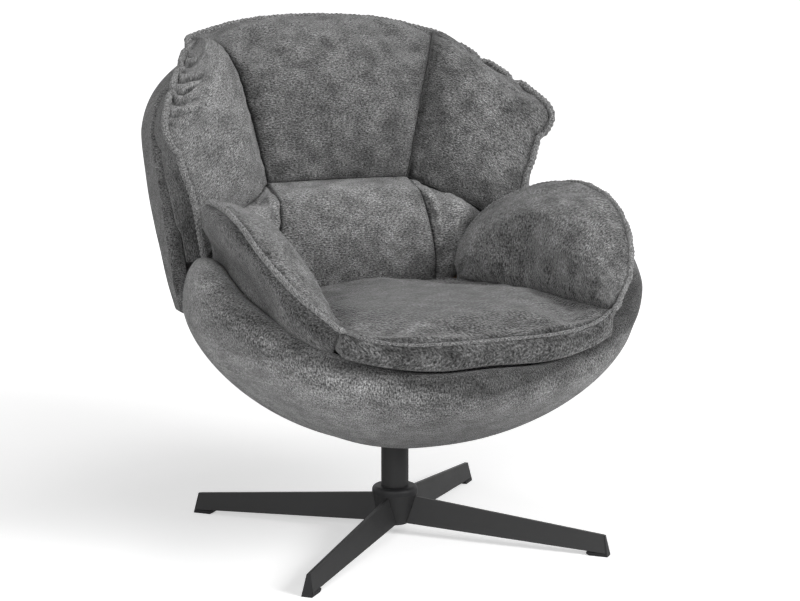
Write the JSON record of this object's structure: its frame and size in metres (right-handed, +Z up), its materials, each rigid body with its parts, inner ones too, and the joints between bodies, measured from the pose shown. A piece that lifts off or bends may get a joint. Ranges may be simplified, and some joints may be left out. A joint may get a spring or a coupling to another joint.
{
  "type": "swivel lounge chair",
  "caption": "Swivel lounge chair with plump petal cushions nested in a round padded tub, a tall wrapped back with side wings, and a black steel star base.",
  "frame": {"origin": "on the floor under the swivel axis", "axes": "+Z up along the swivel axis, the sitter faces -Y"},
  "size_m": [0.818, 0.817, 0.8962],
  "materials": {
    "steel_black": "satin black powder coat",
    "plastic_black": "matt moulded",
    "zinc": "zinc plated",
    "birch": "bare plywood",
    "strap": "woven elastic webbing",
    "plush": "short pile grey chenille plush"
  },
  "bodies": {
    "base": {"base_hub": "steel_black", "leg_front_left": "steel_black", "leg_front_right": "steel_black", "leg_rear_left": "steel_black", "leg_rear_right": "steel_black", "foot_front_left": "plastic_black", "foot_front_right": "plastic_black", "foot_rear_left": "plastic_black", "foot_rear_right": "plastic_black", "base_column": "steel_black", "hub_collar": "plastic_black", "lower_bush": "plastic_black", "upper_bush": "plastic_black", "bearing_lower_race": "zinc", "bearing_balls": "zinc"},
    "seat": {"bearing_upper_race": "zinc", "spindle": "zinc", "retaining_washer": "zinc", "retaining_clip": "zinc", "swivel_plate": "steel_black", "plate_bolts": "zinc", "tee_nuts": "zinc", "mounting_disc": "birch", "rib_frame": "birch", "seat_deck": "birch", "seat_webbing": "strap", "tub_shell": "birch", "tub_padding": "plush", "back_panel": "birch", "back_cleat": "birch", "back_shell": "plush", "seat_cushion": "plush", "arm_pad_left": "plush", "arm_pad_right": "plush", "lumbar_centre": "plush", "lumbar_side_left": "plush", "lumbar_side_right": "plush", "headrest_centre": "plush", "wing_left": "plush", "wing_right": "plush"}
  },
  "joints": [
    {"name": "swivel", "type": "hinge", "parent": "base", "child": "seat", "pos_m": [0, 0, 0.2], "axis": [0, 0, 1], "continuous": true}
  ]
}
